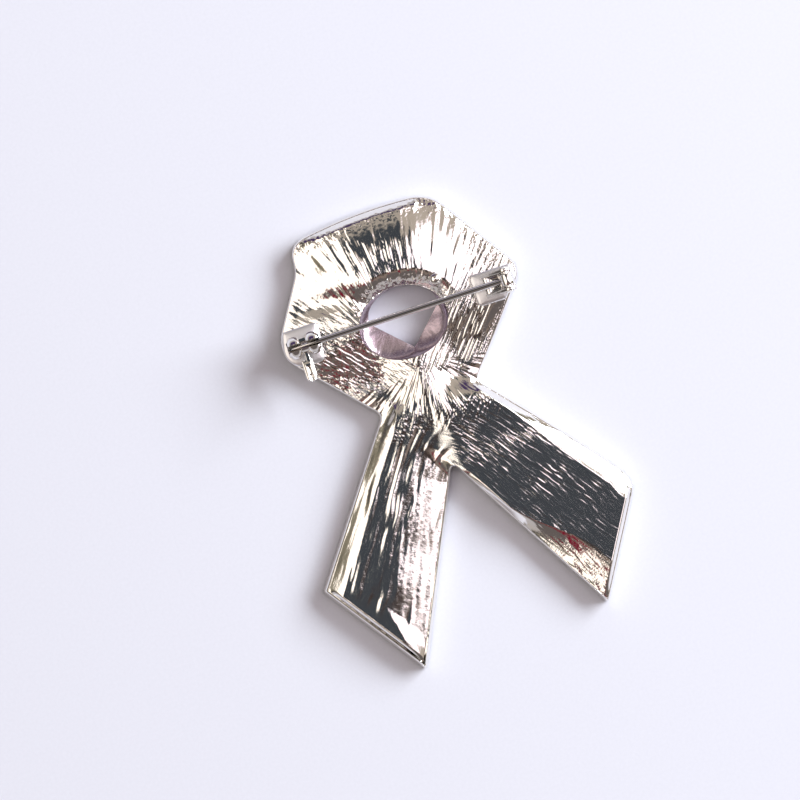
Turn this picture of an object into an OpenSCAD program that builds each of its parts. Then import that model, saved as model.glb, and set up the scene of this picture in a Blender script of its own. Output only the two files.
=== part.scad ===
// Ribbon-shaped rhinestone brooch, lying face down on its stones, with its pin and safety catch on top.
// X runs across the ribbon and along the pin, Y runs up the ribbon, Z points away from the stones.
// The origin is the middle of the outline's box, in the plane of the stones' tables.

/* [Casting] */
// Height of the back's outer edge above the tables of the stones
edge_z = 2.0; // [1.8:0.1:2.4]
// Swell of the loop's back above its outer edge
loop_crown = 2.0; // [1.6:0.1:2.1]
// Swell of the right tail's back
right_crown = 1.0; // [0.8:0.1:1.2]
// Swell of the left tail's back
left_crown = 0.8; // [0.7:0.1:1.1]
// Height of the opening's edge on the back
opening_z = 2.7; // [2.4:0.1:3]
// Distance from the opening over which the swell rises
opening_reach = 2.2; // [1.8:0.2:3]
// Height of the front rim's flat face
rim_z = 0.2; // [0.15:0.05:0.3]
// Width of the front rim round the stones
rim_w = 0.55; // [0.4:0.05:0.7]
// Width of the ridges where the ribbon crosses itself
ridge_w = 0.5; // [0.4:0.1:0.8]
// Height of the trays' floors, on which the stones are set
floor_z = 1.2; // [1.15:0.05:1.3]

/* [Stones] */
// Rows of stones across the loop
loop_rows = 4; // [3:1:4]
// Rows of stones across each tail
tail_stone_rows = 5; // [4:1:5]
// Height of a stone from its table to its flat back
stone_h = 1.1; // [0.9:0.05:1.1]
// Clear space between neighbouring stones
stone_gap = 0.24; // [0.2:0.02:0.4]
// Table's width as a share of the stone's width
table_share = 0.58; // [0.5:0.02:0.7]
// Height of a stone's crown
crown_h = 0.5; // [0.3:0.05:0.6]

/* [Pin] */
// Diameter of the pin's wire
pin_d = 0.8; // [0.7:0.05:0.85]
// Height of the pin's axis
pin_z = 5.0; // [4.9:0.1:5.4]
// Distance of the pin's line above the middle of the opening
pin_y = 0.7; // [0.5:0.1:0.9]
// Length of the sharpened end
point_len = 4.5; // [3:0.5:6]
// Diameter of the rivet
rivet_d = 0.8; // [0.7:0.05:0.85]
// Radial clearance between the rivet and the pin's eye
rivet_clearance = 0.05; // [0.03:0.01:0.08]
// Outer diameter of the pin's eye
eye_d = 1.9; // [1.7:0.1:2]
// Width of the pin's eye
eye_w = 1.5; // [1.2:0.1:1.6]

/* [Hinge bracket] */
// Outer width across the two ears
bracket_w = 2.9; // [2.8:0.1:3.2]
// Thickness of each ear
ear_t = 0.45; // [0.35:0.05:0.5]
// Length of the ears in front of the rivet
ear_len = 3.0; // [2.5:0.1:3.4]
// Radius of the ears' round top
ear_r = 0.95; // [0.9:0.05:1.1]

/* [Catch] */
// Outer diameter of the two round shoulders
shoulder_d = 2.9; // [2.8:0.1:3.1]
// Width of each shoulder along the pin
shoulder_w = 1.55; // [1.4:0.05:1.6]
// Distance between the middles of the shoulders
shoulder_pitch = 2.36; // [2.3:0.02:2.5]
// Outer diameter of the turning sleeve
sleeve_d = 1.9; // [1.8:0.05:1.95]
// Bore of the turning sleeve
sleeve_bore = 1.25; // [1.2:0.05:1.3]
// Length of the turning sleeve
sleeve_len = 4.2; // [4:0.1:4.6]
// Width of the slot that lets the pin out
slot_w = 0.85; // [0.85:0.05:1]
// Reach of the lever from the sleeve's axis
lever_reach = 4.6; // [4:0.1:5]
// Width of the lever's finger end
lever_w = 1.4; // [1.2:0.1:1.6]

/* [Hidden] */
$fn = 48;

// The outline, clockwise from the loop's left shoulder, measured from the middle of the opening.
// Columns: x, y, where the corner's rounding starts, bulge of the side that follows, draft of the side wall,
// distance over which the back swells from that side, power of the swell, share of it that is a rolled edge.
OUTLINE = [
    [-10.95, 13.35, 2.6, 0.75, 0.35, 7.0, 2.0, 0.45], // left shoulder
    [8.10, 14.25, 2.6, 0.0, 0.35, 4.6, 2.0, 0.2], // right shoulder
    [16.40, 1.70, 2.0, 0.1, 0.35, 1.5, 1.6, 0.1], // right corner
    [6.70, -9.95, 0.9, 0.25, 0.35, 1.9, 1.1, 0], // right notch
    [21.80, -28.05, 2.2, 0.0, 0.4, 0.6, 2.0, 0], // right tail's corner
    [13.65, -41.90, 0.9, 0.0, 0.4, 4.0, 1.5, 0], // right tail's tip
    [0.40, -19.20, 0.8, 0.0, 0.35, 6.0, 2.0, 0], // crotch
    [-10.60, -42.90, 1.0, 0.0, 0.7, 0.6, 2.0, 0], // left tail's tip
    [-20.10, -29.35, 0.5, 0.0, 0.7, 1.9, 1.15, 0], // left tail's corner
    [-6.25, -10.55, 0.8, 0.0, 0.35, 2.0, 1.6, 0.1], // left notch
    [-16.55, 0.65, 3.4, 0.0, 0.35, 4.0, 1.6, 0.2], // left corner
    [-10.85, 10.00, 1.2, 0.0, 0.35, 4.0, 2.0, 0.2] // notch under the left shoulder
];
CORNERS = len(OUTLINE);
RIGHT_NOTCH = 3;
RIGHT_TAIL = 4;
RIGHT_TIP = 5;
CROTCH = 6;
LEFT_TIP = 7;
LEFT_TAIL = 8;
LEFT_NOTCH = 9;

// Folds pressed into the back. Columns: from x, y, to x, y, depth, half width.
FOLDS = [
    [-11.6, 5.6, -4.7, 4.2, 0.55, 1.6], // between the top band and the left band
    [2.6, -7.6, 7.2, -9.6, 0.12, 0.6], // between the right band and the right tail
    [-6.8, -10.2, -2.6, -8.6, 0.12, 0.9] // between the left band and the left tail
];

// The opening is an ellipse on the back, and on the front a drop with its point down.
back_middle = [0.1, -0.35];
back_half = [5.65, 4.6];
front_middle = [0.5, 0.8];
front_half_w = 4.55;
front_up = 3.4;
front_down = 4.5;
// Height up to which the opening keeps the drop's shape
lip_z = 1.75;

// Size of the cells that the outline is cut into, and the shares at which sections are cut
grid = 1.25;
band_steps = [0, 0.07, 0.18, 0.34, 0.5, 0.66, 0.81, 0.93, 1];
tail_steps = [0, 0.08, 0.24, 0.42, 0.6, 0.78, 0.92, 1];
cross_rows = 6;
tail_rows = 16;
finest = 10000;

hinge_x = 13.95;
catch_x = -12.6;
tip_x = -14.2;
pad_top = 3.75;
pad_foot = 1.9;
loose = 0.02;
fit = 0.05;
boss_at = [5.5, 3.6];
boss_r = 0.95;

function lerp(a, b, t) = a * (1 - t) + b * t;
function sum(list, i = 0) = i < len(list) ? list[i] + sum(list, i + 1) : 0;
function corner(i) = [OUTLINE[i % CORNERS][0], OUTLINE[i % CORNERS][1]];
function rounding(i) = OUTLINE[i % CORNERS][2];
function side_len(i) = norm(corner(i + 1) - corner(i));

// A side is a straight line with a parabolic bulge to its outer side.
function side_at(i, s) =
    let (a = corner(i), d = corner(i + 1) - a)
    a + d * s + [-d[1], d[0]] / norm(d) * 4 * OUTLINE[i % CORNERS][3] * s * (1 - s);

// A corner is a quadratic curve from one side to the next, pulled towards the corner's point.
function corner_at(i, s) =
    let (before = i + CORNERS - 1,
         a = side_at(before, 1 - rounding(i) / side_len(before)),
         b = side_at(i, rounding(i) / side_len(i)))
    a * (1 - s) * (1 - s) + corner(i) * 2 * s * (1 - s) + b * s * s;

// Length of a rounded corner as a share of its two legs
arc_share = 0.85;
// The front outline at u, where u = 3.5 is half way from corner 3 to corner 4.
function rim_at(u) =
    let (i = floor(u) % CORNERS, j = (i + 1) % CORNERS,
         near = arc_share * rounding(i), far = arc_share * rounding(j),
         straight = side_len(i) - rounding(i) - rounding(j),
         way = (u - floor(u)) * (near + straight + far))
    way < near ? corner_at(i, 0.5 + 0.5 * way / near)
    : way < near + straight ? side_at(i, (rounding(i) + way - near) / side_len(i))
    : corner_at(j, 0.5 * (way - near - straight) / far);

function inward(u) =
    let (d = rim_at(u + CORNERS + 0.01) - rim_at(u + CORNERS - 0.01))
    [d[1], -d[0]] / norm(d);

// The outline on the front (back = 0) and on the back (back = 1), which the draft of the wall draws in.
function edge_at(u, back) =
    let (i = floor(u) % CORNERS, j = (i + 1) % CORNERS,
         draft = lerp(OUTLINE[i][4], OUTLINE[j][4], u - floor(u)))
    rim_at(u) + inward(u) * draft * back;

function cells(i) = max(2, round(side_len(i) / grid));
function stretch(i, back) = [for (k = [0 : cells(i) - 1]) edge_at(i + k / cells(i), back)];
function outline(back) = [for (i = [0 : CORNERS - 1]) each stretch(i, back)];
RIM = outline(0);
BACK_EDGE = outline(1);

function power(x, p) = sign(x) * pow(abs(x), p);
function drop_at(angle) =
    let (below = sin(angle) < 0, p = below ? 2 : 1, reach = below ? front_down : front_up)
    front_middle + [front_half_w * power(cos(angle), p), reach * power(sin(angle), p)];
function ellipse_at(angle) = back_middle + [back_half[0] * cos(angle), back_half[1] * sin(angle)];
function angle_of(p) = atan2(p[1] - back_middle[1], p[0] - back_middle[0]);
function opening_at(p, back) = back == 1 ? ellipse_at(angle_of(p)) : drop_at(angle_of(p));

function gap_to(p, a, b) =
    let (d = b - a, t = max(0, min(1, ((p - a) * d) / (d * d))))
    norm(p - a - d * t);
function smooth(a, b, x) = let (t = max(0, min(1, (x - a) / (b - a)))) t * t * (3 - 2 * t);
// A bend from level to a slope of 1, rounded over the width k
function bend(x, k) = k * ln(1 + exp(x / k));

// Distance of the rolled edge, and the least height of the swelling
rolled_reach = 1.0;
least_swell = 0.18;
// The loop bends down to its sides at two distances from its middle, and its lower bands sink.
bend_at = [3.9, 9];
bend_slope = [0.2, -0.1];
bend_width = 0.5;
sink = 1.35;
sink_from = 3.5;
sink_over = 11;
// Share of the bend that the lower bands keep, on the left and on the right
low_share = [0.25, 0.35];

side_steps = 12;
SIDE_LINES = [for (i = [0 : CORNERS - 1]) [for (k = [0 : side_steps]) edge_at(i + k / side_steps, 1)]];
function gap_to_side(p, i) =
    min([for (k = [0 : side_steps - 1]) gap_to(p, SIDE_LINES[i][k], SIDE_LINES[i][k + 1])]);

// The swell narrows by the left tail's slanted end and along the right tail's upper half.
function reach_at(i, p, gaps) =
    i == CROTCH ? lerp(3, OUTLINE[i][5], smooth(0.8, 3, gaps[LEFT_TIP]))
    : i == RIGHT_TIP ? lerp(0.5, OUTLINE[i][5], smooth(-26, -35, p[1]))
    : i == RIGHT_NOTCH ? lerp(0.8, OUTLINE[i][5], smooth(-13, -24, p[1]))
    : OUTLINE[i][5];
// The right tail lies over the left one: the distance beyond its inner side, carried on past the crotch
function past_crotch(p) =
    let (d = corner(CROTCH) - corner(RIGHT_TIP)) (p - corner(CROTCH)) * [-d[1], d[0]] / norm(d);
// Share of a swell that is left out: the right tail is full at the crotch, and so is what it covers.
function square_at(i, p) =
    i == RIGHT_TIP ? smooth(-28, -18.5, p[1]) : i == CROTCH ? 1 - smooth(-0.2, 1.4, past_crotch(p)) : 0;
function swell(i, gap, reach) =
    (1 - OUTLINE[i][7]) * pow(1 - min(gap / reach, 1), OUTLINE[i][6])
    + OUTLINE[i][7] * pow(1 - min(gap / rolled_reach, 1), 2);
function swell_at(p, gaps, i = 0) =
    i == CORNERS ? 1
    : (1 - (1 - square_at(i, p)) * swell(i, gaps[i], reach_at(i, p, gaps))) * swell_at(p, gaps, i + 1);

// How far the back dips to the opening: fully along its top, and not at all along its lower half.
function dip_share(p) =
    let (q = p - back_middle, angle = atan2(q[1] / back_half[1], q[0] / back_half[0]),
         gap = max(0, norm(q) - norm(opening_at(p, 1) - back_middle)))
    angle < 0 ? 0
    : smooth(-10, 40, angle) * (1 - smooth(110, 165, angle)) * pow(1 - min(gap / opening_reach, 1), 2);

// Height of the back: a pillow that rises from each side in its own way.
function back_z(p) =
    let (x = p[0], y = p[1],
         gaps = [for (i = [0 : CORNERS - 1]) gap_to_side(p, i)],
         tail = smooth(6, -18, y),
         crown = lerp(loop_crown, lerp(left_crown, right_crown, smooth(-1, 2, x)), tail),
         dip = dip_share(p),
         low = lerp(low_share[0], low_share[1], smooth(-1, 1, x)),
         keep = low * smooth(-14, -8, y) + (1 - low) * smooth(-2, 4.5, y),
         bent = sum([for (k = [0, 1]) bend_slope[k] * bend(abs(x) - bend_at[k], bend_width)]) * keep,
         way_down = max(0, min(1, (sink_from - y) / sink_over)),
         sunk = sink * way_down * (1 - smooth(-8, -12, y)) * smooth(0, 5.5, abs(x)),
         folds = sum([for (f = FOLDS) f[4] * exp(-pow(gap_to(p, [f[0], f[1]], [f[2], f[3]]) / f[5], 2))]),
         height = lerp(crown, opening_z - edge_z, dip) - bent - sunk - folds)
    edge_z + swell_at(p, gaps) * (least_swell + bend(height - least_swell, 0.1));

// Points are rounded to a ten-thousandth of a millimetre, so that grids share their common edges.
function snap(x) = round(x * finest) / finest;
function at_height(points, z) = [for (p = points) [snap(p[0]), snap(p[1]), z]];
function on_back(points) =
    [for (p = points) let (q = [snap(p[0]), snap(p[1])]) [q[0], q[1], snap(back_z(q))]];

// A tail: u runs from its inner to its outer side, and rows run from the knot to the slanted end.
function knot_at(t, back) = lerp(edge_at(RIGHT_NOTCH, back), edge_at(LEFT_NOTCH, back), t);
function tail_inner(right, row, back) =
    row < cross_rows ? lerp(knot_at(0.5, back), edge_at(CROTCH, back), row / cross_rows)
    : edge_at(CROTCH + (right ? -1 : 1) * (row - cross_rows) / tail_rows, back);
function tail_outer(right, row, back) =
    let (way = row / (cross_rows + tail_rows))
    edge_at(right ? RIGHT_NOTCH + way : LEFT_NOTCH - way, back);
function tail_start(right, u, back) = knot_at(0.5 * (right ? 1 - u : 1 + u), back);
function tail_end(right, u, back) = edge_at(right ? RIGHT_TIP - u : LEFT_TIP + u, back);

// The four sides of a tail are blended into a grid, less the blend of its four corners.
function tail_at(right, u, row, back) =
    let (v = row / (cross_rows + tail_rows))
    lerp(tail_inner(right, row, back), tail_outer(right, row, back), u)
    + lerp(tail_start(right, u, back), tail_end(right, u, back), v)
    - lerp(lerp(tail_start(right, 0, back), tail_end(right, 0, back), v),
           lerp(tail_start(right, 1, back), tail_end(right, 1, back), v), u);
function tail_row(right, row, back) = [for (u = tail_steps) tail_at(right, u, row, back)];
function tail_line(right, u, from, back) =
    [for (row = [from : cross_rows + tail_rows]) tail_at(right, u, row, back)];

// The loop's outline, clockwise from the left notch to the right notch, and back along the knot.
function loop_free(back) =
    concat([for (i = [LEFT_NOTCH : CORNERS + RIGHT_NOTCH - 1]) each stretch(i, back)],
           [tail_at(true, 1, 0, back)]);
function loop_edge(back) =
    let (n = len(tail_steps))
    concat(loop_free(back),
           [for (k = [n - 2 : -1 : 0]) tail_at(true, tail_steps[k], 0, back)],
           [for (k = [1 : n - 1]) tail_at(false, tail_steps[k], 0, back)]);
function band_line(t, back) = [for (p = loop_edge(back)) lerp(opening_at(p, back), p, t)];

// A grid is a list of rows of points, and the second entry turns its faces over.
function faces_of(rows, first, turned) =
    let (w = len(rows[0]))
    [for (r = [0 : len(rows) - 2], c = [0 : w - 2])
        let (a = first + r * w + c, b = a + w)
        each (turned ? [[b, a + 1, a], [b, b + 1, a + 1]] : [[a, a + 1, b], [a + 1, b + 1, b]])];
function count(grid_pair) = len(grid_pair[0]) * len(grid_pair[0][0]);

LOOP_GRIDS = [
    [[for (t = band_steps) on_back(band_line(t, 1))], true],
    [[at_height(band_line(0, 0), rim_z), at_height(band_line(1, 0), rim_z)], false],
    [[on_back(loop_free(1)), at_height(loop_free(0), rim_z)], true],
    [[on_back(band_line(0, 1)), at_height(band_line(0, 0), lip_z), at_height(band_line(0, 0), rim_z)], false]
];
function tail_grids(right) =
    let (rows = [0 : cross_rows + tail_rows], last = cross_rows + tail_rows)
    [[[for (row = rows) on_back(tail_row(right, row, 1))], !right],
     [[for (row = rows) at_height(tail_row(right, row, 0), rim_z)], right],
     [[on_back(tail_line(right, 0, cross_rows, 1)),
       at_height(tail_line(right, 0, cross_rows, 0), rim_z)], !right],
     [[on_back(tail_line(right, 1, 0, 1)), at_height(tail_line(right, 1, 0, 0), rim_z)], right],
     [[on_back(tail_row(right, last, 1)), at_height(tail_row(right, last, 0), rim_z)], !right]];

module grid_solid(grids) {
    firsts = [for (g = 0, at = 0; g < len(grids); at = at + count(grids[g]), g = g + 1) at];
    polyhedron([for (g = grids) each [for (r = g[0]) each r]],
               [for (g = [0 : len(grids) - 1]) each faces_of(grids[g][0], firsts[g], grids[g][1])],
               convexity = 10);
}

// The origin of the part, seen from the middle of the opening
MIDDLE = let (x = [for (p = RIM) p[0]], y = [for (p = RIM) p[1]])
    [(min(x) + max(x)) / 2, (min(y) + max(y)) / 2];
module placed() { translate([-MIDDLE[0], -MIDDLE[1], 0]) children(); }

// A bar along the front where one run of the ribbon ends against the other
module ridge(a, b) {
    d = b - a;
    translate(a) rotate(atan2(d[1], d[0])) translate([0, -ridge_w / 2]) square([norm(d), ridge_w]);
}

module tray_shape() {
    difference() {
        offset(delta = -rim_w) difference() {
            polygon(RIM);
            polygon([for (k = [0 : 39]) drop_at(-90 - 9 * k)]);
        }
        ridge(drop_at(-90), corner(RIGHT_NOTCH));
        ridge(corner(LEFT_NOTCH), corner(CROTCH));
    }
}

module pad(spots) {
    translate([0, 0, pad_foot]) linear_extrude(pad_top - pad_foot) hull() {
        for (s = spots) translate([s[0], s[1]]) circle(s[2]);
    }
}

// Something turned about the line of the pin, from x to x + w
module along_pin(x) { translate([x, pin_y, pin_z]) rotate([0, 90, 0]) children(); }
// Something turned about the rivet
module on_rivet(half_w) { translate([hinge_x, pin_y + half_w, pin_z]) rotate([90, 0, 0]) children(); }

module hinge_bracket() {
    gap_w = bracket_w - 2 * ear_t;
    pad([[10.1, 2.0, 0.6], [14.6, 2.0, 0.6], [14.6, 1.0, 0.6], [12.9, -0.9, 0.6], [10.2, -0.9, 0.6]]);
    difference() {
        on_rivet(bracket_w / 2) linear_extrude(bracket_w) hull() {
            circle(ear_r);
            translate([-ear_len, pad_foot - pin_z]) square([ear_len + ear_r, pad_top - pad_foot + 0.35]);
        }
        translate([hinge_x - ear_len - 1, pin_y - gap_w / 2, pad_top]) cube([ear_len + 3, gap_w, 5]);
        on_rivet(bracket_w) cylinder(d = rivet_d + 2 * loose, h = 2 * bracket_w);
    }
}

// One round shoulder of the catch, with rounded edges, standing on a short foot
module shoulder(x) {
    r = shoulder_d / 2;
    round_r = 0.6;
    along_pin(x - shoulder_w / 2) rotate_extrude() difference() {
        square([r, shoulder_w]);
        for (side = [0, 1]) translate([r - round_r, side == 0 ? 0 : shoulder_w - round_r]) difference() {
            square([round_r + 1, round_r]);
            translate([0, side == 0 ? round_r : 0]) circle(round_r);
        }
    }
    translate([x - shoulder_w / 2 + 0.1, pin_y - r * 0.7, pad_foot])
        cube([shoulder_w - 0.2, r * 1.4, pin_z - pad_foot]);
}

module catch_housing() {
    bore = sleeve_d + 2 * fit;
    pad([[-12.9, 0.6, 2.4], [-14.4, 2.6, 0.5], [-10.7, 2.6, 0.5], [-11.2, -1.2, 0.6]]);
    difference() {
        union() {
            shoulder(catch_x - shoulder_pitch / 2);
            shoulder(catch_x + shoulder_pitch / 2);
        }
        along_pin(catch_x - 5) cylinder(d = bore, h = 10);
        translate([catch_x - 5, pin_y - slot_w / 2, pin_z]) cube([10, slot_w, 5]);
    }
}

module ribbon_casting() {
    color("silver") placed() {
        difference() {
            grid_solid(concat(LOOP_GRIDS, tail_grids(true), tail_grids(false)));
            translate([0, 0, -1]) linear_extrude(floor_z + 1) tray_shape();
        }
        translate([boss_at[0], boss_at[1], back_z(boss_at) - 0.5]) sphere(boss_r);
        hinge_bracket();
        catch_housing();
    }
}

module hinge_rivet() {
    color("gainsboro") placed() {
        on_rivet(bracket_w / 2 + loose) cylinder(d = rivet_d, h = bracket_w + 2 * loose);
        for (side = [-1, 1]) on_rivet(side * (bracket_w / 2 + loose) + (side > 0 ? 0.2 : 0))
            cylinder(d = rivet_d + 0.4, h = 0.2);
    }
}

module pin_stem() {
    taper_x = tip_x + point_len;
    color("lightgray") placed() difference() {
        union() {
            on_rivet(eye_w / 2) cylinder(d = eye_d, h = eye_w);
            along_pin(taper_x) cylinder(d = pin_d, h = hinge_x - rivet_d - taper_x);
            along_pin(tip_x) cylinder(d1 = 0.1, d2 = pin_d, h = point_len);
        }
        on_rivet(eye_w) cylinder(d = rivet_d + 2 * rivet_clearance, h = 2 * eye_w);
    }
}

module catch_sleeve() {
    root_w = 0.55;
    finger_from = shoulder_d / 2 + 0.3;
    finger_t = 0.6;
    finger_x = catch_x - 0.25;
    color("gainsboro") placed() {
        difference() {
            along_pin(catch_x - sleeve_len / 2) cylinder(d = sleeve_d, h = sleeve_len);
            along_pin(catch_x - sleeve_len) cylinder(d = sleeve_bore, h = 2 * sleeve_len);
            translate([catch_x - 5, pin_y - slot_w / 2, pin_z]) cube([10, 5, 5]);
        }
        translate([catch_x - root_w / 2, pin_y - finger_from - 0.3, pin_z - finger_t / 2])
            cube([root_w, finger_from + 0.3 - sleeve_d / 2 + 0.12, finger_t]);
        difference() {
            union() {
                translate([finger_x - lever_w / 2, pin_y - lever_reach + lever_w / 2, pin_z - finger_t / 2])
                    cube([lever_w, lever_reach - lever_w / 2 - finger_from, finger_t]);
                translate([finger_x, pin_y - lever_reach + lever_w / 2, pin_z - finger_t / 2])
                    cylinder(d = lever_w, h = finger_t);
            }
            translate([finger_x - 0.12, pin_y - lever_reach + lever_w / 2, pin_z + 0.1]) cube([0.24, 5, 1]);
        }
    }
}

// A line is kept as its total length and the x and y of its points against their way along it.
function run(points) =
    [for (i = 0, way = 0, n = len(points); i < n;
          way = way + (i + 1 < n ? norm(points[i + 1] - points[i]) : 0), i = i + 1) way];
function turn(points) = [for (p = points) (angle_of(points[0]) - angle_of(p) + 360) % 360];
function line_of(points, ways) =
    let (n = len(points))
    [ways[n - 1],
     [for (i = [0 : n - 1]) [ways[i], points[i][0]]],
     [for (i = [0 : n - 1]) [ways[i], points[i][1]]]];
function straight(points) = line_of(points, run(points));
function on_line(line, s) = [lookup(s * line[0], line[1]), lookup(s * line[0], line[2])];
function beyond(a, b, more) = b + (b - a) / norm(b - a) * more;
function path(from, to, n) = [for (k = [0 : n]) rim_at(lerp(from, to, k / n))];

// How far the rows of the tails start before the crotch and run on past the slanted ends
head_start = 4.5;
overrun = 6.6;
// The small stone in the point of a tail
tip_gap = 2.5;
tip_r = 0.5;
function tip_stone(i) =
    let (a = corner(i - 1) - corner(i), b = corner(i + 1) - corner(i), d = a / norm(a) + b / norm(b),
         p = corner(i) + d / norm(d) * tip_gap)
    [p[0], p[1], tip_r];
// Half of the share of a line over which its heading is taken
nudge = 0.003;

// A field of stones lies between an inner and an outer line, both running away from its start.
// The lines that close it at its start and end run clockwise round it, and cut off the stones they cross.
// Entries: inner line, outer line, rows, start line, end line, stone in the tip.
outer_path = path(LEFT_NOTCH, CORNERS + RIGHT_NOTCH, 90);
LOOP_FIELD = [
    straight([for (k = [0 : 72]) drop_at(-90 - 5 * k)]),
    line_of(outer_path, turn(outer_path)),
    loop_rows,
    [],
    [corner(RIGHT_NOTCH), drop_at(-90)],
    []
];
RIGHT_FIELD = [
    straight(concat([corner(LEFT_NOTCH)], path(CROTCH, RIGHT_TIP, 12))),
    straight([drop_at(-90), corner(RIGHT_NOTCH), beyond(corner(RIGHT_NOTCH), corner(RIGHT_TAIL), overrun)]),
    tail_stone_rows,
    [],
    [corner(RIGHT_TAIL), corner(RIGHT_TIP)],
    [tip_stone(RIGHT_TIP)]
];
LEFT_FIELD = [
    straight([beyond(corner(LEFT_TIP), corner(CROTCH), head_start), corner(LEFT_TIP)]),
    straight([corner(LEFT_NOTCH), beyond(corner(LEFT_NOTCH), corner(LEFT_TAIL), overrun)]),
    tail_stone_rows,
    [corner(LEFT_NOTCH), corner(CROTCH)],
    [corner(LEFT_TIP), corner(LEFT_TAIL)],
    [tip_stone(LEFT_TIP)]
];

// A point between the lines at the share s of their length and the share t of the way across
function section(field, s, t) =
    let (a = on_line(field[0], s), b = on_line(field[1], s), d = (b - a) / norm(b - a))
    lerp(a + d * rim_w, b - d * rim_w, t);
function heading(field, s, t) =
    let (m = max(nudge, min(1 - nudge, s))) section(field, m + nudge, t) - section(field, m - nudge, t);

// The room for a stone is the distance between its row and the next, square to the row.
function room_at(field, s, t) =
    let (across = section(field, s, 1) - section(field, s, 0), row = heading(field, s, t))
    abs(across[0] * row[1] - across[1] * row[0]) / norm(row) / field[2];
function room(field, s, t) =
    let (half = 0.5 / field[2])
    min(room_at(field, s, t - half), room_at(field, s, t), room_at(field, s, t + half));
function step_at(field, s, t) = room(field, s, t) * 2 * nudge / norm(heading(field, s, t));
function march(field, t, s) =
    let (step = step_at(field, s, t))
    s + step / 2 > 1 ? [] : concat([s], march(field, t, s + (step + step_at(field, s + step, t)) / 2));

// Whether a stone stays clear of a line that closes the field
function clears(stone, line) =
    len(line) == 0 ? true
    : let (d = (line[1] - line[0]) / norm(line[1] - line[0]), q = [stone[0], stone[1]] - line[0])
    d[1] * q[0] - d[0] * q[1] > stone[2] + rim_w + stone_gap / 2;

// A row of stones, spread so that it fills its field from end to end. Each stone is x, y, radius.
function stone_row(field, t) =
    let (found = march(field, t, step_at(field, 0, t) / 2),
         last = found[len(found) - 1],
         spread = 1 / (last + step_at(field, last, t) / 2))
    [for (s = found)
        let (p = section(field, s * spread, t),
             stone = [p[0], p[1], (room(field, s * spread, t) - stone_gap) / 2])
        if (clears(stone, field[s < 0.5 ? 3 : 4])) stone];

// Stones that would come too near to each other are drawn smaller.
function fitted(list) =
    [for (a = list) [a[0], a[1], min([for (b = list)
        let (d = norm([a[0] - b[0], a[1] - b[1]]))
        d == 0 ? a[2] : (d - stone_gap) * max(0.5, a[2] / (a[2] + b[2])),
        a[2]])]];
function stones(field) =
    fitted(concat([for (k = [0 : field[2] - 1]) each stone_row(field, (k + 0.5) / field[2])], field[5]));

// A stone has a table, eight facets round its crown and a flat back.
SIDES = 8;
back_share = 0.92;
function stone_rings(stone) =
    [for (level = [[0, table_share], [crown_h, 1], [stone_h, back_share]], k = [0 : SIDES - 1])
        let (a = 360 / SIDES * (k + 0.5))
        [stone[0] + stone[2] * level[1] * cos(a), stone[1] + stone[2] * level[1] * sin(a), level[0]]];
function stone_faces(first) =
    concat([[for (k = [0 : SIDES - 1]) first + k]],
           [for (level = [0, 1], k = [0 : SIDES - 1])
               let (a = first + level * SIDES, b = (k + 1) % SIDES)
               [a + b, a + k, a + SIDES + k, a + SIDES + b]],
           [[for (k = [SIDES - 1 : -1 : 0]) first + 2 * SIDES + k]]);
module stone_field(field) {
    list = stones(field);
    polyhedron([for (s = list) each stone_rings(s)],
               [for (i = [0 : len(list) - 1]) each stone_faces(i * 3 * SIDES)], convexity = 10);
}

module loop_stones() { color("hotpink") placed() stone_field(LOOP_FIELD); }
module right_tail_stones() { color("hotpink") placed() stone_field(RIGHT_FIELD); }
module left_tail_stones() { color("hotpink") placed() stone_field(LEFT_FIELD); }

ribbon_casting();
hinge_rivet();
pin_stem();
catch_sleeve();
loop_stones();
right_tail_stones();
left_tail_stones();
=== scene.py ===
"""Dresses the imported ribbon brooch: it lies face down on its stones, back and pin up, seen from above.

Lengths are millimetres from the middle of the opening, as in the part's source.
X runs along the pin, Y up the ribbon and Z away from the stones.
piece() turns them into metres from the part's origin.
"""
import math
import bpy
import mathutils
import numpy as np
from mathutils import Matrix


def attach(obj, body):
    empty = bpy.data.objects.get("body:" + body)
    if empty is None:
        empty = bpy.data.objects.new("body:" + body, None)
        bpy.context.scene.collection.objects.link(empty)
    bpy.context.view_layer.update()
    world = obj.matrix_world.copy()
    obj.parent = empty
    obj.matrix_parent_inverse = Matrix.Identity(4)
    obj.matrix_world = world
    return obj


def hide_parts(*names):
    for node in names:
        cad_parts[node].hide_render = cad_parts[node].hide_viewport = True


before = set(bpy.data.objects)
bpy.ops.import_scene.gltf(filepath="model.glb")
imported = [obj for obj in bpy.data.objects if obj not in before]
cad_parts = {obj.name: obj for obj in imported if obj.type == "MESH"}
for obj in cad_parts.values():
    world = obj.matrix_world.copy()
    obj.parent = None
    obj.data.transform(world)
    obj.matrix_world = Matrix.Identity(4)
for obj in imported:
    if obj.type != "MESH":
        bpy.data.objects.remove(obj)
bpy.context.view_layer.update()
MM = 0.001
TAU = 2 * math.pi

# The ribbon's shape, as in the part's source

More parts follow.
